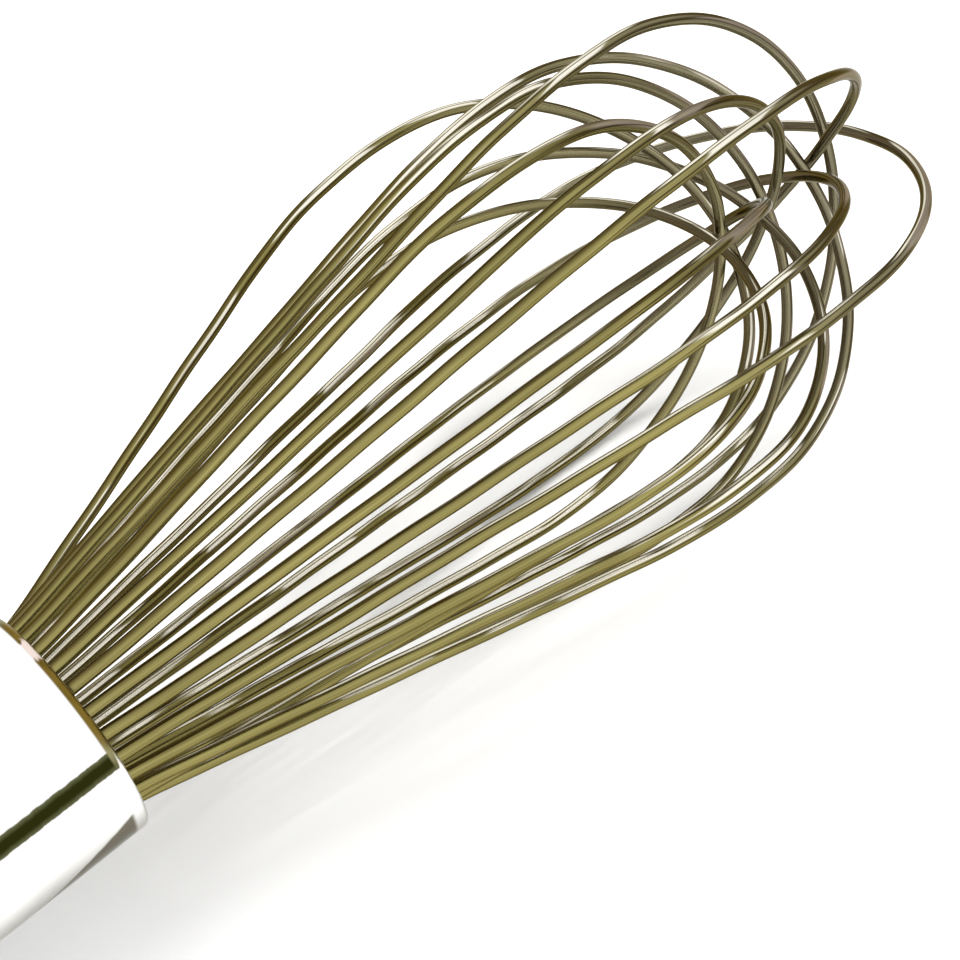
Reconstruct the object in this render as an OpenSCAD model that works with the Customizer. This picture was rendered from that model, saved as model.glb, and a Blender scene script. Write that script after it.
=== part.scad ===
// Balloon whisk: a cage of twelve sprung wire loops, potted in the mouth of a tubular handle.
// The whisk lies along X. The origin is the centre of the handle's mouth, the tip of the
// cage points to +X, and the handle runs to -X.

/* [Wire cage] */
// Diameter of the cage wire
wire_d = 1.7; // [1.5:0.1:2]
// Radius of the ring of wires where they leave the handle
ring_r = 12.2; // [12:0.1:12.8]
// Distance from the mouth to the top of the shortest loop
shortest_loop = 112; // [105:1:118]
// Height added from each loop to the next taller one
stack_step = 3; // [2.9:0.05:3.2]
// Radius of the rounded end of the shortest loop
bow_r = 31; // [30:0.5:33]
// Radius added to the rounded end from each loop to the next taller one
bow_r_step = 0.35; // [0.2:0.05:0.5]
// Radius of the long curved side of the shortest loop
side_r = 76; // [70:1:90]
// Radius added to the curved side from each loop to the next taller one
side_r_step = 4.5; // [3:0.5:6]
// Turn of the whole ring of wires about the handle, in degrees
ring_turn = 2.5; // [-7.5:0.5:7.5]

/* [Handle] */
// Outside diameter of the handle tube
handle_d = 32; // [31.6:0.2:34.4]
// Wall of the handle tube
wall = 1.5; // [1:0.1:1.5]
// Length of the handle tube, without the end cap
handle_len = 140; // [100:5:180]
// Depth of the wire guide behind the mouth
guide_recess = 4; // [3:0.5:8]
// Length of each wire's end inside the handle
tail_len = 36; // [25:1:45]

/* [Hanging loop] */
// Diameter of the hanging loop's wire
hang_d = 3; // [2:0.5:3.5]
// Clear width inside the hanging loop
hang_w = 13; // [11:1:14]

/* [Hidden] */

// Slot of each loop around the ring, from the shortest loop to the tallest. Each loop
// crosses the cage, so twelve loops fill twice as many places at the mouth.
loop_slot = [11, 5, 1, 8, 0, 3, 6, 9, 2, 7, 4, 10];
// A few loops stray from the even stack by a round amount, as hand-bent wires do. In all
// three lists the shortest loop comes first and the tallest last.
// Degrees by which each loop leans out of its own plane
loop_lean = [-2, 2, 0, 0, 0, 0, 0, 0, 0, 0, 0, 0];
// Sideways shift of each loop's rounded end in its own plane
loop_sway = [0, 4, 8, -2, 0, 0, 0, -2, 0, 6, 0, -2];
// Height added to each loop
loop_rise = [0, -1, 1, 0, 0, 0, 0, 0, 0, 0, 0, 2];

loops = len(loop_slot);
slot_angle = 180 / loops;
root_bend_r = 10;
// A wire is made of bends and straight pieces. They stop this far short of each other, and
// a bead a hair wider than the wire joins them, so that no two faces lie in one plane.
joint_gap = 0.05;
bead_d = wire_d * 1.03;
fit_gap = 0.02;

tube_ir = handle_d / 2 - wall;
plug_r = tube_ir - fit_gap;
wire_hole_d = wire_d + 2 * fit_gap;
guide_t = 3;
plug_end = tail_len + 2;
stop_t = 4;

cap_flange_t = 2.5;
cap_dome_h = 6;
cap_ledge = 0.6;
spigot_len = 14;
spigot_r = tube_ir - fit_gap;
spigot_wall = 2;
hang_pitch = hang_w + hang_d;
hang_reach = 8;
hang_hole_d = hang_d + 2 * fit_gap;
anchor_t = 3;

wire_colour = [0.62, 0.60, 0.50];
handle_colour = [0.86, 0.86, 0.84];

// Round rod of diameter d and length len along +X
module rod(d, len) {
    rotate([0, 90, 0]) cylinder(d = d, h = len, $fn = 32);
}

// Round rod bent in the XY plane around the origin, from angle "from" through "sweep"
module bend(d, r, from, sweep) {
    rotate([0, 0, from])
        rotate_extrude(angle = sweep, $fn = 128)
            translate([r, 0]) circle(d = d, $fn = 32);
}

// Bend of the cage wire, stopping short of both its ends
module wire_bend(r, from, sweep) {
    short = atan(joint_gap / r);
    bend(wire_d, r, from + short, sweep - 2 * short);
}

// Bead that joins two pieces of a cage wire
module bead() {
    sphere(d = bead_d, $fn = 32);
}

// One side of a loop above the mouth, on the +Y side: long curved side and straight leg.
// xc and yc are the centre of the side's curve, swing its angle and cut the length that
// the root bend takes off the leg.
module loop_side(xc, yc, r, swing, cut) {
    touch_x = xc - r * sin(swing);
    touch_y = yc + r * cos(swing);
    leg = norm([touch_x, touch_y - ring_r]);
    translate([xc, yc, 0]) wire_bend(r, 90, swing);
    translate([xc, yc + r, 0]) bead();
    translate([touch_x, touch_y, 0]) bead();
    translate([0, ring_r, 0]) rotate([0, 0, swing])
        translate([cut + joint_gap, 0, 0]) rod(wire_d, leg - cut - 2 * joint_gap);
}

// Root of a wire: straight tail in the handle, and the bend that turns it to the leg's
// direction. turn is the bend's angle and roll the direction it leans to, about X.
module loop_root(turn, roll) {
    cut = root_bend_r * tan(turn / 2);
    translate([0, ring_r, 0]) {
        translate([-tail_len, 0, 0]) rod(wire_d, tail_len - cut - joint_gap);
        translate([-cut, 0, 0]) bead();
        rotate([roll, 0, 0]) translate([-cut, root_bend_r, 0]) {
            wire_bend(root_bend_r, -90, turn);
            rotate([0, 0, turn - 90]) translate([root_bend_r, 0, 0]) bead();
        }
    }
}

// Whole loop that is i steps up from the shortest one
module wire_loop(i) {
    bow = bow_r + i * bow_r_step;
    side = side_r + i * side_r_step;
    lean = loop_lean[i];
    xc = shortest_loop + i * stack_step + loop_rise[i] - bow;
    color(wire_colour)
        rotate([ring_turn + loop_slot[i] * slot_angle, 0, 0]) {
            rotate([0, -lean, 0]) translate([xc, loop_sway[i], 0])
                wire_bend(bow, -90, 180);
            for (hand = [1, -1]) {
                yc = hand * loop_sway[i] + bow - side;
                swing = atan2(xc, ring_r - yc) - acos(side / norm([xc, ring_r - yc]));
                turn = acos(cos(swing) * cos(lean));
                roll = atan2(cos(swing) * sin(lean), sin(swing));
                cut = root_bend_r * tan(turn / 2);
                mirror([0, (1 - hand) / 2, 0]) {
                    rotate([0, -lean, 0]) loop_side(xc, yc, side, swing, cut);
                    loop_root(turn, roll);
                }
            }
        }
}

// Polished tube with a rounded mouth, which stands out past the origin by half the wall
module handle_tube() {
    lip_r = wall / 2;
    color(handle_colour)
        rotate([0, 90, 0]) rotate_extrude($fn = 128) {
            translate([tube_ir, -handle_len]) square([wall, handle_len]);
            translate([tube_ir + lip_r, 0]) circle(r = lip_r, $fn = 48);
        }
}

// Places its children at every wire around the ring
module at_every_wire() {
    for (k = [0 : 2 * loops - 1])
        rotate([ring_turn + k * slot_angle, 0, 0]) translate([0, ring_r, 0]) children();
}

// Drilled disc that holds the wires in their ring at the mouth
module wire_guide() {
    front = -guide_recess;
    color([0.3, 0.3, 0.29]) difference() {
        translate([front - guide_t, 0, 0]) rod(2 * plug_r, guide_t);
        at_every_wire() translate([front - guide_t - 1, 0, 0]) rod(wire_hole_d, guide_t + 2);
    }
}

// Cast resin that grips the wires' ends
module resin_plug() {
    front = -guide_recess - guide_t - fit_gap;
    color([0.75, 0.68, 0.5]) difference() {
        translate([-plug_end, 0, 0]) rod(2 * plug_r, plug_end + front);
        at_every_wire() translate([-tail_len - fit_gap, 0, 0]) rod(wire_hole_d, tail_len);
    }
}

// Disc that keeps the wet resin at the mouth end of the tube
module resin_stop() {
    color([0.66, 0.5, 0.34])
        translate([-plug_end - fit_gap - stop_t, 0, 0]) rod(2 * plug_r, stop_t);
}

// Places its children at both of the hanging loop's legs
module at_hanging_legs() {
    for (hand = [1, -1]) translate([0, hand * hang_pitch / 2, 0]) children();
}

// Domed plug pressed into the back of the tube
module end_cap() {
    back = -handle_len - fit_gap;
    color(handle_colour) difference() {
        union() {
            translate([back - cap_flange_t, 0, 0]) rod(handle_d, cap_flange_t);
            translate([back, 0, 0]) rod(2 * spigot_r, spigot_len);
            translate([back - cap_flange_t, 0, 0]) cap_dome();
        }
        translate([back, 0, 0]) rod(2 * (spigot_r - spigot_wall), spigot_len + 1);
        at_hanging_legs() translate([back - cap_flange_t - cap_dome_h - 1, 0, 0])
            rod(hang_hole_d, cap_flange_t + cap_dome_h + 2);
    }
}

// Shallow dome on the back of the end cap: a slice of a ball, with a ledge around it
module cap_dome() {
    base_r = handle_d / 2 - cap_ledge;
    ball_r = (base_r * base_r + cap_dome_h * cap_dome_h) / (2 * cap_dome_h);
    intersection() {
        translate([ball_r - cap_dome_h, 0, 0]) sphere(r = ball_r, $fn = 128);
        translate([-cap_dome_h - 1, 0, 0]) rod(handle_d, cap_dome_h + 1);
    }
}

// Bent wire for a hook, with both legs through the end cap
module hanging_loop() {
    inner_end = -handle_len - fit_gap + spigot_len + anchor_t;
    outer_end = -handle_len - cap_flange_t - cap_dome_h - hang_reach;
    color(wire_colour) {
        at_hanging_legs() translate([outer_end, 0, 0]) rod(hang_d, inner_end - outer_end);
        translate([outer_end, 0, 0]) bend(hang_d, hang_pitch / 2, 90, 180);
    }
}

// Plate inside the handle that the hanging loop's legs are swaged into
module loop_anchor() {
    front = -handle_len + spigot_len;
    color([0.55, 0.55, 0.55]) difference() {
        translate([front, 0, 0]) rod(2 * (spigot_r - 1), anchor_t);
        at_hanging_legs() translate([front - 1, 0, 0]) rod(hang_hole_d, anchor_t + 2);
    }
}

wire_loop(0);  // wire_loop_01
wire_loop(1);  // wire_loop_02
wire_loop(2);  // wire_loop_03
wire_loop(3);  // wire_loop_04
wire_loop(4);  // wire_loop_05
wire_loop(5);  // wire_loop_06
wire_loop(6);  // wire_loop_07
wire_loop(7);  // wire_loop_08
wire_loop(8);  // wire_loop_09
wire_loop(9);  // wire_loop_10
wire_loop(10);  // wire_loop_11
wire_loop(11);  // wire_loop_12
handle_tube();
wire_guide();
resin_plug();
resin_stop();
end_cap();
hanging_loop();
loop_anchor();
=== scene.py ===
"""Looks for the balloon whisk: its shown pieces, their materials, the floor, the light and the camera.

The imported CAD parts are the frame. Each wire's centre line is read from the surface of its CAD
wire, so the finer wires built here follow the CAD wires. Lengths are metres.
"""
import math
import random

import bpy
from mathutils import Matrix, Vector


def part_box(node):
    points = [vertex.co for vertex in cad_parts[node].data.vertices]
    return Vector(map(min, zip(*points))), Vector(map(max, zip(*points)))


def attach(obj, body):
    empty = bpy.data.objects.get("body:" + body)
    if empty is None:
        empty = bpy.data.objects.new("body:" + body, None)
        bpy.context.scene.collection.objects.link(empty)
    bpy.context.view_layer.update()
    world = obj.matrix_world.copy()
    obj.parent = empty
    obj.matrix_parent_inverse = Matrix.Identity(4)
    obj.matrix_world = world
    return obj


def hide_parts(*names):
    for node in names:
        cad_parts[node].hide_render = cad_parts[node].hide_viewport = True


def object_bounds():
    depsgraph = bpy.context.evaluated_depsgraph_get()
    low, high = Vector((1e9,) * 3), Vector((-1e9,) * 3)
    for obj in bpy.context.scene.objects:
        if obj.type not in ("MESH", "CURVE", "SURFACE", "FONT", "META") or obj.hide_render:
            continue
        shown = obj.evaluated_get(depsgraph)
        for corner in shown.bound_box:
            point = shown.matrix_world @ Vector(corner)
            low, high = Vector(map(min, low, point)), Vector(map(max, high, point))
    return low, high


MM = 0.001
SEED = 12

# Wires
WIRE_R = 0.85 * MM
WIRE_SIDES = 28
WIRE_STEP = 0.75 * MM
RING_SPREAD = 1.2 * MM      # points nearer than this belong to one ring of a CAD wire
LONGEST_GAP = 3.0 * MM      # rings further apart than this get points in between
SPLINE_STEPS = 6            # points of the smooth curve from one ring to the next
EASE_PASSES = 24            # smoothing that blends one bend of a wire into the next
WAVER = 0.05 * MM           # how far a hand-formed wire strays from its true line
WAVER_LENGTH = 34 * MM
RIPPLE_SHARE = 0.6          # size and length of the quicker ripple that rides on the waver
RIPPLE_LENGTH = 0.43 * WAVER_LENGTH
WIRE_EDGE_ANGLE = math.radians(50)      # corners sharper than this are shaded as edges

# Turned pieces
TURN_SEGMENTS = 192
FILLET_STEPS = 8
TURNED_EDGE_ANGLE = math.radians(35)
FIT_GAP = 0.02 * MM         # between the tube and the pieces inside it
LIP_ROUNDING = 0.48         # fillets of the mouth's lip, as a share of the tube's wall
BACK_EDGE_R = 0.25 * MM
CAP_EDGE_R = 0.3 * MM
BEND_STEPS = 48             # of the hanging loop

# Studio
SKY = 1.25                  # radiance of the light all around, which the metals mirror
HORIZON_SHARE = 0.94        # light from below the horizon, as a share of that from overhead
LAMP_DISTANCE = 0.9
LAMP_SIZE = 0.6
LAMP_POWER = 5.5
FLOOR_REACH = 3.0

# Reflections painted into the metals' base colours, and the metals' marks. Angles are degrees about X:
# 0 is level towards -Y, 90 is straight up.
STRIP_REFLECTION_ANGLE = 7.5           # the painted reflection of a dark strip along the handle
LOW_EDGE_TAPER = 3.3        # degrees by which the painted grey reflection along the tube's lower edge narrows in each millimetre
GLINT_ANGLE = 95.0          # the pale glint on the lip of the mouth
WINDOW_ANGLE = 76.0         # the painted reflection of a high window in the wires
LOW_WINDOW_ANGLE = 152.0
BAR_ANGLES = (116.0, 8.0)   # painted reflections of dark bars beside the windows
MIRRORED_PALER = 0.4        # how much paler a wire is where it is itself seen in a mirror
GLOW_POWER = 2.3            # how quickly the soft glow of a painted reflection fades with the angle
SQUARE_ON = 0.999999        # cosine above which a surface counts as seen square on
CAMERA_SIDE = (24, 42)      # degrees off the camera's direction between which the tones change
BUMP_DEPTH = 0.02 * MM      # of the marks in the wires and the tube

# Camera: angles in degrees, azimuth from +X towards +Y; aim as shares of the cage's length
VIEW_AZIMUTH = -133.28
VIEW_ELEVATION = 55.29
VIEW_DISTANCE = 236.3 * MM
AIM_ALONG = 0.4141
AIM_ASIDE = -0.0584
LENS = 66.96
SENSOR_WIDTH = 36
CLIP_START = 10 * MM


# ---------------------------------------------------------------- geometry

def add_object(name, verts, faces):
    mesh = bpy.data.meshes.new(name)
    mesh.from_pydata(verts, [], faces)
    mesh.shade_smooth()
    obj = bpy.data.objects.new(name, mesh)
    bpy.context.scene.collection.objects.link(obj)
    return obj


def centre_line(node_name, radius):
    """Centre of every ring of a CAD wire, in order from one end of the wire to the other.

    A point of the round surface, moved inwards along its normal by the wire's radius, lands on
    the centre line. The flat ends' corners miss it, so inside the handle the line strays by up to
    0.7 mm, most of all near its ends. The wire bulges around the middle of the cage, so the angle
    about that middle puts the points in order."""
    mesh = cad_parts[node_name].data
    corners = zip(mesh.loops, mesh.corner_normals)
    inner = [mesh.vertices[c.vertex_index].co - n.vector * radius for c, n in corners]
    end = min(inner, key=lambda p: p.x)
    across = Vector((0, end.y, end.z)).normalized()
    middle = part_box(node_name)[1].x / 2
    inner.sort(key=lambda p: math.atan2(p.dot(across), p.x - middle))
    rings = [[inner[0]]]
    for point in inner[1:]:
        if (point - rings[-1][0]).length > RING_SPREAD:
            rings.append([])
        rings[-1].append(point)
    return [sum(ring, Vector()) / len(ring) for ring in rings]


def fill_gaps(points, longest):
    """The same points, with straight steps between those that are far apart."""
    filled = [points[0]]
    for a, b in zip(points, points[1:]):
        steps = max(1, round((b - a).length / longest))
        filled += [a.lerp(b, k / steps) for k in range(1, steps + 1)]
    return filled


def spline(points, per_span):
    """Smooth curve (Catmull-Rom) through the points."""
    line = []
    padded = [points[0]] + points + [points[-1]]
    for p0, p1, p2, p3 in zip(padded, padded[1:], padded[2:], padded[3:]):
        for k in range(per_span):
            t = k / per_span
            line.append(0.5 * (2 * p1 + (p2 - p0) * t + (2 * p0 - 5 * p1 + 4 * p2 - p3) * t * t
                               + (3 * p1 - 3 * p2 + p3 - p0) * t ** 3))
    return line + [points[-1]]


def even_steps(line, step):
    """The same line, as evenly spaced points."""
    lengths = [0.0]
    for a, b in zip(line, line[1:]):
        lengths.append(lengths[-1] + (b - a).length)
    count = max(2, round(lengths[-1] / step))
    out, i = [], 0
    for k in range(count + 1):
        want = lengths[-1] * k / count
        while i < len(line) - 2 and lengths[i + 1] < want:
            i += 1
        span = max(lengths[i + 1] - lengths[i], 1e-12)
        out.append(line[i].lerp(line[i + 1], (want - lengths[i]) / span))
    return out


def ease(line, passes):
    """Evens out sudden changes of curvature; the ends stay where they are."""
    for _ in range(passes):
        line = [line[0]] + [
            (a + 2 * b + c) / 4 for a, b, c in zip(line, line[1:], line[2:])
        ] + [line[-1]]
    return line


def waver(line, rng):
    """Slow, slight wandering of a hand-formed wire, none at its ends."""
    phases = [rng.uniform(0, math.tau) for _ in range(6)]
    total = WIRE_STEP * len(line)
    out = []
    for i, p in enumerate(line):
        s = i * WIRE_STEP
        hold = math.sqrt(math.sin(math.pi * s / total))
        shift = Vector([
            math.sin(math.tau * s / WAVER_LENGTH + phases[2 * k])
            + RIPPLE_SHARE * math.sin(math.tau * s / RIPPLE_LENGTH + phases[2 * k + 1])
            for k in range(3)
        ])
        out.append(p + shift * WAVER * hold)
    return out


def tube(name, line, radius):
    """Round tube along a line, with closed ends. The attribute "wire" holds each point's place:
    millimetres along the tube, then cosine and sine of the angle around it."""
    sides = WIRE_SIDES
    verts, faces, places = [], [], []
    side = (line[1] - line[0]).normalized().orthogonal().normalized()
    travelled = 0.0
    for i, centre in enumerate(line):
        ahead = line[min(i + 1, len(line) - 1)] - line[max(i - 1, 0)]
        tangent = ahead.normalized()
        side = (side - tangent * side.dot(tangent)).normalized()
        up = tangent.cross(side)
        if i:
            travelled += (centre - line[i - 1]).length
        for k in range(sides):
            a = math.tau * k / sides
            verts.append(centre + (side * math.cos(a) + up * math.sin(a)) * radius)
            places.append((travelled / MM, math.cos(a), math.sin(a)))
    for i in range(len(line) - 1):
        for k in range(sides):
            k2 = (k + 1) % sides
            faces.append((i * sides + k, i * sides + k2, (i + 1) * sides + k2, (i + 1) * sides + k))
    last = (len(line) - 1) * sides
    faces.append(tuple(reversed(range(sides))))
    faces.append(tuple(last + k for k in range(sides)))
    obj = add_object(name, verts, faces)
    attribute = obj.data.attributes.new("wire", "FLOAT_VECTOR", "POINT")
    attribute.data.foreach_set("vector", [v for place in places for v in place])
    obj.data.set_sharp_from_angle(angle=WIRE_EDGE_ANGLE)
    return obj


def rounded(profile):
    """Profile of (x, r, fillet) corners as (x, r) points, each corner rounded by its fillet."""
    out = []
    for i, (x, r, fillet) in enumerate(profile):
        here = Vector((x, r))
        if not fillet:
            out.append(here)
            continue
        before = Vector(profile[i - 1][:2]) - here
        after = Vector(profile[(i + 1) % len(profile)][:2]) - here
        half = before.angle(after) / 2
        cut = fillet / math.tan(half)
        start = here + before.normalized() * cut
        stop = here + after.normalized() * cut
        centre = here + (before.normalized() + after.normalized()).normalized() * (
            fillet / math.sin(half)
        )
        for k in range(FILLET_STEPS + 1):
            point = start.lerp(stop, k / FILLET_STEPS)
            out.append(centre + (point - centre).normalized() * fillet)
    return out


def turned(name, profile):
    """Ring turned about the X axis from a closed profile of (x, r, fillet) corners."""
    points = rounded(profile)
    segments = TURN_SEGMENTS
    verts, faces = [], []
    for p in points:
        for k in range(segments):
            a = math.tau * k / segments
            verts.append((p.x, p.y * math.cos(a), p.y * math.sin(a)))
    for i in range(len(points)):
        j = (i + 1) % len(points)
        for k in range(segments):
            k2 = (k + 1) % segments
            faces.append((i * segments + k, j * segments + k, j * segments + k2, i * segments + k2))
    obj = add_object(name, verts, faces)
    obj.data.set_sharp_from_angle(angle=TURNED_EDGE_ANGLE)
    return obj


# ---------------------------------------------------------------- node helpers

class Nodes:
    """Short way to build a node tree.

    add() makes a node, fills its inputs and returns one of its outputs. put() fills one input.
    The other methods are short forms of add() for the nodes used most."""

    def __init__(self, tree):
        self.tree = tree
        tree.nodes.clear()

    def add(self, kind, values=None, out=0, **settings):
        node = self.tree.nodes.new(kind)
        for key, value in settings.items():
            setattr(node, key, value)
        for key, value in (values or {}).items():
            self.put(node.inputs[key], value)
        return node.outputs[out] if node.outputs else node

    def put(self, socket, value):
        if isinstance(value, bpy.types.NodeSocket):
            self.tree.links.new(value, socket)
        else:
            socket.default_value = value

    def math(self, operation, a, b=0.0, c=0.0):
        return self.add("ShaderNodeMath", {0: a, 1: b, 2: c}, operation=operation)

    def vector(self, operation, a, b=(0, 0, 0), out=0):
        return self.add("ShaderNodeVectorMath", {0: a, 1: b}, operation=operation, out=out)

    def mix(self, share, a, b, blend="MIX"):
        return self.add("ShaderNodeMix", {0: share, 6: a, 7: b}, out=2,
                        data_type="RGBA", blend_type=blend)

    def steps(self, value, low, high, to_low=0.0, to_high=1.0):
        return self.add("ShaderNodeMapRange", {0: value, 1: low, 2: high, 3: to_low, 4: to_high},
                        interpolation_type="SMOOTHSTEP")

    def noise(self, place, scale, detail=4.0, rough=0.55):
        return self.add("ShaderNodeTexNoise", {"Vector": place, "Scale": scale, "Detail": detail,
                                               "Roughness": rough})

    def stretch(self, place, factors):
        return self.vector("MULTIPLY", place, factors)

    def parts(self, vector):
        return self.add("ShaderNodeSeparateXYZ", {0: vector}).node.outputs

    def grey(self, value):
        return self.add("ShaderNodeCombineColor", {0: value, 1: value, 2: value})

    def position(self):
        return self.add("ShaderNodeTexCoord", out=3)

    def reflection(self):
        return self.add("ShaderNodeTexCoord", out=6)


def tone(red, green, blue):
    """Base colour of a metal that mirrors the studio as this screen colour (0 to 255 each)."""
    def linear(value):
        v = value / 255
        return v / 12.92 if v <= 0.04045 else ((v + 0.055) / 1.055) ** 2.4
    return tuple(linear(v) / SKY for v in (red, green, blue)) + (1,)


def direction(azimuth, elevation):
    """Unit vector; azimuth turns from +X towards +Y."""
    a, e = math.radians(azimuth), math.radians(elevation)
    return Vector((math.cos(a) * math.cos(e), math.sin(a) * math.cos(e), math.sin(e)))


def lobe(n, toward, inner, outer):
    """1 where the surface mirrors what lies within inner degrees of a direction, 0 past outer."""
    facing = n.vector("DOT_PRODUCT", n.reflection(), tuple(toward), out=1)
    return n.steps(facing, math.cos(math.radians(outer)), math.cos(math.radians(inner)))


def glow(n, toward):
    """Like lobe, but one soft hump: 1 where the mirrored direction is the given one, 0 opposite it."""
    facing = n.vector("DOT_PRODUCT", n.reflection(), tuple(toward), out=1)
    return n.math("POWER", n.math("MULTIPLY_ADD", facing, 0.5, 0.5), GLOW_POWER)


def seen_aslant(n):
    """0 where a surface is seen exactly square on, as all of it is when colours are baked, else 1.

    It keeps the mirrored room out of baked colours, which then hold the metal's own."""
    geometry = n.add("ShaderNodeNewGeometry").node.outputs
    facing = n.vector("DOT_PRODUCT", geometry["Incoming"], geometry["Normal"], out=1)
    return n.math("LESS_THAN", facing, SQUARE_ON)


def seen_from_elsewhere(n):
    """0 for a viewer on the camera's side of the whisk, 1 for one well away from it."""
    incoming = n.add("ShaderNodeNewGeometry").node.outputs["Incoming"]
    facing = n.vector("DOT_PRODUCT", incoming, tuple(view_direction()), out=1)
    near, far = (math.cos(math.radians(angle)) for angle in CAMERA_SIDE)
    return n.steps(facing, near, far)


def new_material(name):
    material = bpy.data.materials.new(name)
    material.use_nodes = True
    return material, Nodes(material.node_tree)


def finish_material(n, settings):
    shader = n.add("ShaderNodeBsdfPrincipled", settings)
    n.add("ShaderNodeOutputMaterial", {"Surface": shader})


# ---------------------------------------------------------------- materials

def wire_metal():
    """Bright drawn spring wire, with streaks along it, slow changes of tone, and painted reflections
    of a room and its windows.
    """
    material, n = new_material("drawn_spring_wire")
    place = n.add("ShaderNodeAttribute", attribute_name="wire", out=1)
    streaks = n.noise(n.stretch(place, (0.030, 4.0, 4.0)), 1.3, 5.0, 0.55)
    drifts = n.noise(n.stretch(place, (0.045, 0.5, 0.5)), 1.0, 2.0)
    glints = n.noise(n.stretch(place, (0.060, 0.6, 0.6)), 1.0, 1.0)

    # painted reflections of a brown room, its windows, dark bars and a mauve wall, in the base colour
    colour = mirrored_windows(n, mirrored_room(n), drifts, glints)
    own = n.mix(drifts, tone(158, 150, 112), tone(140, 130, 92))
    colour = n.mix(seen_aslant(n), own, colour)
    again = n.add("ShaderNodeLightPath", out=3)
    colour = n.mix(n.math("MULTIPLY", again, MIRRORED_PALER), colour, tone(228, 224, 206))
    drawn = n.steps(streaks, 0.30, 0.72, 0.86, 1.12)
    colour = n.mix(1.0, colour, n.grey(drawn), "MULTIPLY")
    colour = n.mix(1.0, colour, n.grey(n.steps(drifts, 0.3, 0.7, 0.88, 1.12)), "MULTIPLY")

    fine = n.steps(streaks, 0.3, 0.8, 0.12, 0.20)
    rough = n.math("ADD", fine, n.steps(drifts, 0.45, 0.75, 0, 0.08))
    height = n.math("ADD", streaks, n.math("MULTIPLY", glints, 0.3))
    bump = n.add("ShaderNodeBump", {"Strength": 0.03, "Distance": BUMP_DEPTH, "Height": height})
    finish_material(n, {"Base Color": colour, "Metallic": 1.0, "Roughness": rough, "Normal": bump,
                        "Specular Tint": (0.50, 0.47, 0.40, 1)})
    return material


def mirrored_room(n):
    """Painted reflection of a brown room: paler below, overhead and in front, and greyer at the cage's
    tip.
    """
    tip = n.steps(n.parts(n.position())[0], TIP_X * 0.50, TIP_X * 0.92)
    sideways = n.parts(n.reflection())[0]
    colour = n.mix(tip, tone(78, 65, 31), tone(84, 74, 56))
    below = lobe(n, direction(-75, -60), 25, 80)
    colour = n.mix(below, colour, n.mix(tip, tone(106, 95, 50), tone(116, 111, 88)))
    overhead = lobe(n, direction(-9, 51), 14, 40)
    colour = n.mix(overhead, colour, n.mix(tip, tone(124, 115, 64), tone(130, 124, 100)))
    front = n.math("MULTIPLY", glow(n, direction(-97, 40)), n.steps(sideways, 0.70, 0.30))
    return n.mix(front, colour, n.mix(tip, tone(162, 153, 95), tone(158, 150, 122)))


def mirrored_windows(n, colour, drifts, glints):
    """Painted reflections of two windows and the dark bars beside them, on the far wires and in every
    bend, and of a mauve wall on the tips. The noises break them up along each wire."""
    sideways = n.parts(n.reflection())[0]
    mirrored = turn_angle(n, n.reflection())
    beside = band(n, sideways, 0.52, 0.14, 0.10)
    # painted dark reflections of bars beside the windows
    dark_bar_reflections = n.math("MAXIMUM", band(n, mirrored, BAR_ANGLES[0], 9.0, 7.0),
                       band(n, mirrored, BAR_ANGLES[1], 8.0, 8.0))
    barred = n.math("MULTIPLY", n.steps(sideways, 0.10, 0.40), n.steps(drifts, 0.38, 0.52, 0.35, 0.85))
    colour = n.mix(n.math("MULTIPLY", dark_bar_reflections, barred), colour, tone(50, 42, 18))
    # painted highlight: the high window's reflection
    high = n.math("MULTIPLY", band(n, mirrored, WINDOW_ANGLE, 30.0, 9.0), n.steps(glints, 0.46, 0.54))
    colour = n.mix(n.math("MULTIPLY", beside, high), colour, tone(246, 240, 224))
    # painted highlight: the low window's reflection
    low = n.math("MULTIPLY", band(n, mirrored, LOW_WINDOW_ANGLE, 20.0, 10.0),
                 n.steps(glints, 0.36, 0.50))
    colour = n.mix(n.math("MULTIPLY", beside, low), colour, tone(248, 242, 220))
    # painted reflection of a pale mauve wall on the tips
    ends = n.math("MULTIPLY", n.steps(sideways, 0.60, 0.85), n.steps(glints, 0.46, 0.58))
    return n.mix(n.math("MULTIPLY", ends, 0.55), colour, tone(180, 166, 150))


def tube_place(n):
    """Place on a piece turned about X: mm along X, then cosine and sine of the angle around it."""
    x, y, z = n.parts(n.position())
    radius = n.math("SQRT", n.math("ADD", n.math("MULTIPLY", y, y), n.math("MULTIPLY", z, z)))
    millimetres = n.math("DIVIDE", x, MM)
    return n.add("ShaderNodeCombineXYZ", {0: millimetres, 1: n.math("DIVIDE", y, radius),
                                          2: n.math("DIVIDE", z, radius)})


def band(n, value, middle, half, blur):
    """1 within half of the middle, fading to 0 over blur."""
    off = n.math("ABSOLUTE", n.math("SUBTRACT", value, middle))
    return n.steps(off, half, half + blur, 1.0, 0.0)


def turn_angle(n, vector):
    """Angle of a direction about X in degrees, from level towards -Y, upwards positive."""
    _, y, z = n.parts(vector)
    return n.math("DEGREES", n.math("ARCTAN2", z, n.math("MULTIPLY", y, -1.0)))


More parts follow.
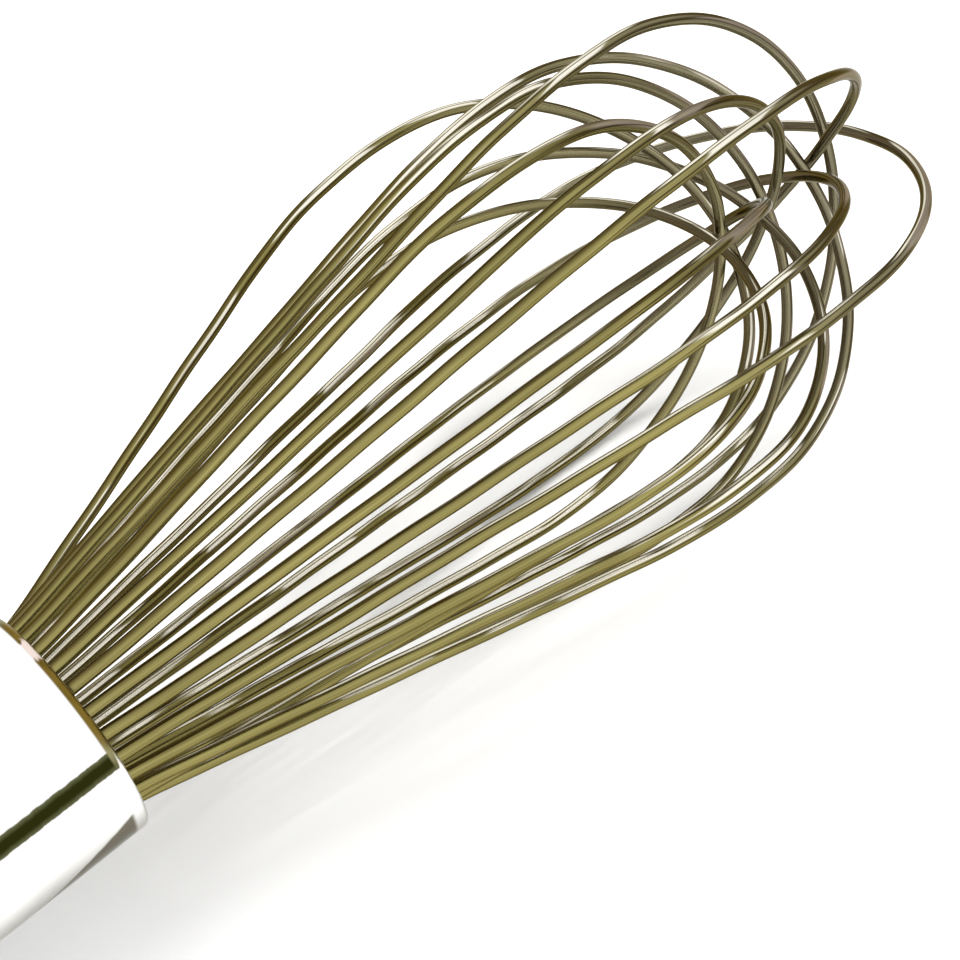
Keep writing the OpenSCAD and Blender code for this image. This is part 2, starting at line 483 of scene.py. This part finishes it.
def handle_metal():
    """Mirror-polished tube: white where it mirrors the light, with a painted reflection of one dark
    olive strip. The lip of the mouth gets a painted reflection of the wires and a painted glint.

    A viewer on the camera's side also sees a painted grey reflection, a short strip along the tube's
    lower edge. Other viewers see broad grey bands of painted reflection."""
    material, n = new_material("polished_tube")
    place = tube_place(n)
    turning = n.noise(n.stretch(place, (9.0, 0.6, 0.6)), 3.0, 5.0, 0.65)
    smudges = n.noise(n.stretch(place, (0.05, 1.2, 1.2)), 1.8, 4.0)
    specks = n.noise(n.stretch(place, (1.2, 14.0, 14.0)), 2.0, 2.0)
    scratches = n.noise(n.stretch(place, (0.5, 60.0, 60.0)), 1.0, 3.0)
    ripple = n.noise(n.stretch(place, (0.7, 3.0, 3.0)), 1.0, 3.0)

    colour = n.mix(n.steps(smudges, 0.40, 0.70), (0.88, 0.877, 0.865, 1), (0.83, 0.826, 0.81, 1))
    mirrored = n.math("ADD", turn_angle(n, n.reflection()), n.steps(ripple, 0.3, 0.7, -0.5, 0.5))
    # painted reflection of a dark olive strip, seen along the handle
    strip = n.mix(band(n, mirrored, STRIP_REFLECTION_ANGLE, 3.0, 5.5), tone(97, 99, 66), tone(46, 47, 15))
    aslant = seen_aslant(n)
    colour = n.mix(n.math("MULTIPLY", band(n, mirrored, STRIP_REFLECTION_ANGLE, 8.4, 1.6), aslant), colour, strip)
    # painted grey reflection along the tube's lower edge, for a viewer on the camera's side
    tapered = n.math("MULTIPLY_ADD", n.parts(place)[0], -LOW_EDGE_TAPER, mirrored)
    behind_lip = n.steps(n.parts(place)[0], -0.9, -1.5)
    low_edge_reflection = n.math("MULTIPLY", n.steps(tapered, -50.0, -56.0), behind_lip)
    elsewhere = n.math("MULTIPLY", seen_from_elsewhere(n), aslant)
    here = n.math("SUBTRACT", aslant, elsewhere)
    colour = n.mix(n.math("MULTIPLY", low_edge_reflection, here), colour, tone(126, 120, 106))
    # painted reflections of darker walls, for viewers away from the camera
    colour = n.mix(n.math("MULTIPLY", dark_wall_reflections(n, mirrored), elsewhere), colour, tone(134, 133, 124))
    # painted reflection of the wires and a painted glint on the lip of the mouth
    colour = n.mix(n.math("MULTIPLY", lip_shows(n, place), aslant), colour, lip_reflections(n, ripple))

    smeared = n.steps(smudges, 0.35, 0.75, 0.04, 0.12)
    rough = n.math("ADD", smeared, n.steps(turning, 0.4, 0.7, 0, 0.04))
    height = n.math("ADD", turning, n.math("MULTIPLY", specks, 0.5))
    height = n.math("SUBTRACT", height, n.steps(scratches, 0.70, 0.78))
    bump = n.add("ShaderNodeBump", {"Strength": 0.04, "Distance": BUMP_DEPTH, "Height": height})
    finish_material(n, {"Base Color": colour, "Metallic": 1.0, "Roughness": rough, "Normal": bump,
                        "Specular Tint": tone(240, 238, 232)})
    return material


def dark_wall_reflections(n, mirrored):
    """Painted reflections of three broad, soft bands of darker wall, which show the tube's roundness
    from other sides.
    """
    walls = band(n, mirrored, 24.0, 12.0, 26.0)
    walls = n.math("MAXIMUM", walls, n.math("MULTIPLY", band(n, mirrored, 150.0, 14.0, 28.0), 0.8))
    return n.math("MAXIMUM", walls, n.math("MULTIPLY", band(n, mirrored, -80.0, 18.0, 30.0), 0.7))


def lip_shows(n, place):
    """1 on the rounded lip of the mouth, on the side where the wires' reflection is painted."""
    on_lip = n.steps(n.parts(place)[0], -0.45, -0.15)
    around = turn_angle(n, n.position())
    return n.math("MULTIPLY", on_lip, n.steps(around, 28.0, 40.0))


def lip_reflections(n, ripple):
    """Painted on the lip: golden brown reflection of the wires, a pinkish white glint, and pale
    reflections at both ends.
    """
    around = n.math("ADD", turn_angle(n, n.position()), n.steps(ripple, 0.3, 0.7, -3.0, 3.0))
    colour = n.mix(n.steps(ripple, 0.35, 0.65), tone(128, 106, 44), tone(96, 78, 28))
    colour = n.mix(n.steps(around, 48.0, 36.0), colour, tone(160, 155, 112))
    colour = n.mix(n.steps(around, 112.0, 128.0), colour, tone(150, 148, 122))
    return n.mix(band(n, around, GLINT_ANGLE, 4.5, 2.5), colour, tone(246, 228, 218))


def guide_metal():
    """Dull machined steel of the hidden discs."""
    material, n = new_material("machined_steel")
    position = n.position()
    grain = n.noise(position, 900.0, 6.0)
    stains = n.noise(position, 120.0, 3.0)
    base = n.mix(n.steps(stains, 0.35, 0.7), (0.17, 0.165, 0.14, 1), (0.10, 0.09, 0.07, 1))
    rough = n.steps(grain, 0.3, 0.7, 0.32, 0.5)
    bump = n.add("ShaderNodeBump", {"Strength": 0.3, "Distance": 0.03 * MM, "Height": grain})
    finish_material(n, {"Base Color": base, "Metallic": 1.0, "Roughness": rough, "Normal": bump})
    return material


def resin():
    """Cast amber epoxy with a little cloudiness."""
    material, n = new_material("cast_resin")
    position = n.position()
    clouds = n.noise(position, 160.0, 5.0)
    base = n.mix(n.steps(clouds, 0.35, 0.7), (0.55, 0.42, 0.20, 1), (0.38, 0.27, 0.11, 1))
    rough = n.steps(clouds, 0.3, 0.7, 0.15, 0.3)
    bump = n.add("ShaderNodeBump", {"Strength": 0.2, "Distance": 0.05 * MM, "Height": clouds})
    finish_material(n, {"Base Color": base, "Roughness": rough, "Normal": bump,
                        "Coat Weight": 0.3, "Subsurface Weight": 0.1})
    return material


def cork():
    """Pressed cork granules."""
    material, n = new_material("pressed_cork")
    position = n.position()
    cells = n.add("ShaderNodeTexVoronoi", {"Vector": position, "Scale": 700.0})
    grains = n.noise(position, 1500.0, 4.0)
    base = n.mix(n.steps(cells, 0.1, 0.6), (0.46, 0.30, 0.16, 1), (0.27, 0.16, 0.08, 1))
    base = n.mix(n.steps(grains, 0.55, 0.8), base, (0.12, 0.07, 0.03, 1))
    bump = n.add("ShaderNodeBump", {"Strength": 0.6, "Distance": 0.1 * MM, "Height": cells})
    finish_material(n, {"Base Color": base, "Roughness": 0.85, "Normal": bump})
    return material


def pale_floor():
    """Matt and nearly white, with a faint mottle."""
    material, n = new_material("pale_floor")
    position = n.position()
    mottle = n.noise(position, 9.0, 5.0)
    base = n.mix(mottle, (0.92, 0.92, 0.915, 1), (0.95, 0.95, 0.945, 1))
    finish_material(n, {"Base Color": base, "Roughness": 0.8})
    return material


# ---------------------------------------------------------------- the whisk

def build_wires(material):
    """One fine tube along the centre line of every CAD wire."""
    rng = random.Random(SEED)
    for name in sorted(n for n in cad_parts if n.startswith("wire_loop")):
        rings = fill_gaps(centre_line(name, WIRE_R), LONGEST_GAP)
        line = ease(even_steps(spline(rings, SPLINE_STEPS), WIRE_STEP), EASE_PASSES)
        wire = tube(name.replace("wire_loop", "wire"), waver(line, rng), WIRE_R)
        wire.data.materials.append(material)
        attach(wire, "root")
        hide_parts(name)


def build_handle(material):
    """Tube with a rounded lip at its mouth and a fine radius at its back end."""
    lo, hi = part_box("handle_tube")
    outer = hi.y
    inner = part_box("resin_plug")[1].y + FIT_GAP
    lip_r = LIP_ROUNDING * (outer - inner)
    tube_piece = turned("tube", [
        (hi.x, outer, lip_r), (lo.x, outer, BACK_EDGE_R), (lo.x, inner, BACK_EDGE_R),
        (hi.x, inner, lip_r),
    ])
    tube_piece.data.materials.append(material)
    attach(tube_piece, "root")
    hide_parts("handle_tube")


def build_hanging_loop(material):
    """Bent wire whose straight legs pass through the end cap."""
    lo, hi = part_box("hanging_loop")
    radius = (hi.z - lo.z) / 2
    bend_r = (hi.y - lo.y) / 2 - radius
    bend_x = lo.x + radius + bend_r
    line = [Vector((hi.x, bend_r, 0))]
    for k in range(BEND_STEPS + 1):
        a = math.pi * k / BEND_STEPS
        line.append(Vector((bend_x - bend_r * math.sin(a), bend_r * math.cos(a), 0)))
    line.append(Vector((hi.x, -bend_r, 0)))
    loop = tube("loop", even_steps(line, WIRE_STEP), radius)
    loop.data.materials.append(material)
    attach(loop, "root")
    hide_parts("hanging_loop")


def dress_hidden_pieces(polish):
    """The pieces inside the tube, and the end cap, keep their CAD meshes."""
    dull_steel = guide_metal()
    finishes = {"wire_guide": dull_steel, "loop_anchor": dull_steel, "resin_plug": resin(),
                "resin_stop": cork(), "end_cap": polish}
    for name, material in finishes.items():
        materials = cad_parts[name].data.materials
        materials.clear()
        materials.append(material)
    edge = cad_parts["end_cap"].modifiers.new("edge_radius", "BEVEL")
    edge.width = CAP_EDGE_R
    edge.segments = 3
    edge.limit_method = "ANGLE"


def build_floor(material):
    """The whisk rests on its cage and on the back of its handle, so the floor slopes past it."""
    back_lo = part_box("end_cap")[0]
    foot = Vector((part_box("handle_tube")[0].x, 0, back_lo.z))
    slope = 0.0
    for name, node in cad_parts.items():
        if name.startswith("wire_loop"):
            for v in node.data.vertices:
                if v.co.x > 0:
                    slope = max(slope, (foot.z - v.co.z) / (v.co.x - foot.x))
    corners = [(x, y, foot.z - slope * (x - foot.x)) for x, y in
               ((-FLOOR_REACH, -FLOOR_REACH), (FLOOR_REACH, -FLOOR_REACH),
                (FLOOR_REACH, FLOOR_REACH), (-FLOOR_REACH, FLOOR_REACH))]
    floor = add_object("floor", corners, [(0, 1, 2, 3)])
    floor.data.materials.append(material)


# ---------------------------------------------------------------- light and camera

def add_lamp(toward):
    """Soft light on the floor and the whisk. Metals don't mirror it: they mirror the sky."""
    data = bpy.data.lights.new("key_light", "AREA")
    data.shape = "RECTANGLE"
    data.size = data.size_y = LAMP_SIZE
    data.energy = LAMP_POWER
    data.color = (1.0, 0.99, 0.97)
    lamp = bpy.data.objects.new("key_light", data)
    lamp.location = Vector((TIP_X / 2, 0, 0)) + toward * LAMP_DISTANCE
    lamp.rotation_mode = "QUATERNION"
    lamp.rotation_quaternion = toward.to_track_quat("Z", "Y")
    lamp.visible_glossy = False
    bpy.context.scene.collection.objects.link(lamp)


def light_studio():
    """Even white light from all around, a little dimmer from low down, and one soft lamp."""
    world = bpy.data.worlds.new("studio")
    bpy.context.scene.world = world
    world.use_nodes = True
    n = Nodes(world.node_tree)
    height = n.parts(n.add("ShaderNodeTexCoord", out=0))[2]
    strength = n.steps(height, -0.2, 0.7, HORIZON_SHARE * SKY, SKY)
    background = n.add("ShaderNodeBackground", {"Color": (1, 1, 1, 1), "Strength": strength})
    n.add("ShaderNodeOutputWorld", {"Surface": background})
    add_lamp(direction(120, 62))


def view_direction():
    """Unit vector from the whisk towards the camera."""
    return direction(VIEW_AZIMUTH, VIEW_ELEVATION)


def place_camera():
    data = bpy.data.cameras.new("camera")
    data.sensor_width = SENSOR_WIDTH
    data.lens = LENS
    data.clip_start = CLIP_START
    camera = bpy.data.objects.new("camera", data)
    back = view_direction()
    aim = Vector((AIM_ALONG * TIP_X, AIM_ASIDE * TIP_X, 0))
    camera.location = aim + back * VIEW_DISTANCE
    camera.rotation_mode = "QUATERNION"
    camera.rotation_quaternion = back.to_track_quat("Z", "Y")
    bpy.context.scene.collection.objects.link(camera)
    bpy.context.scene.camera = camera


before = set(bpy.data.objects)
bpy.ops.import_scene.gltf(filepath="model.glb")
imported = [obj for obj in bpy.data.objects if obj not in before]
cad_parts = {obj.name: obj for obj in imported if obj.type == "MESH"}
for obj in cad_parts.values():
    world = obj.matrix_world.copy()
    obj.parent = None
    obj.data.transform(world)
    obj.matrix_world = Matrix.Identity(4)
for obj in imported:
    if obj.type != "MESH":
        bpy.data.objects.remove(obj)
cad_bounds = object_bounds()
TIP_X = cad_bounds[1].x

steel = wire_metal()
polish = handle_metal()
build_wires(steel)
build_handle(polish)
build_hanging_loop(steel)
dress_hidden_pieces(polish)
build_floor(pale_floor())
light_studio()
place_camera()
bpy.context.scene.view_settings.view_transform = "Standard"
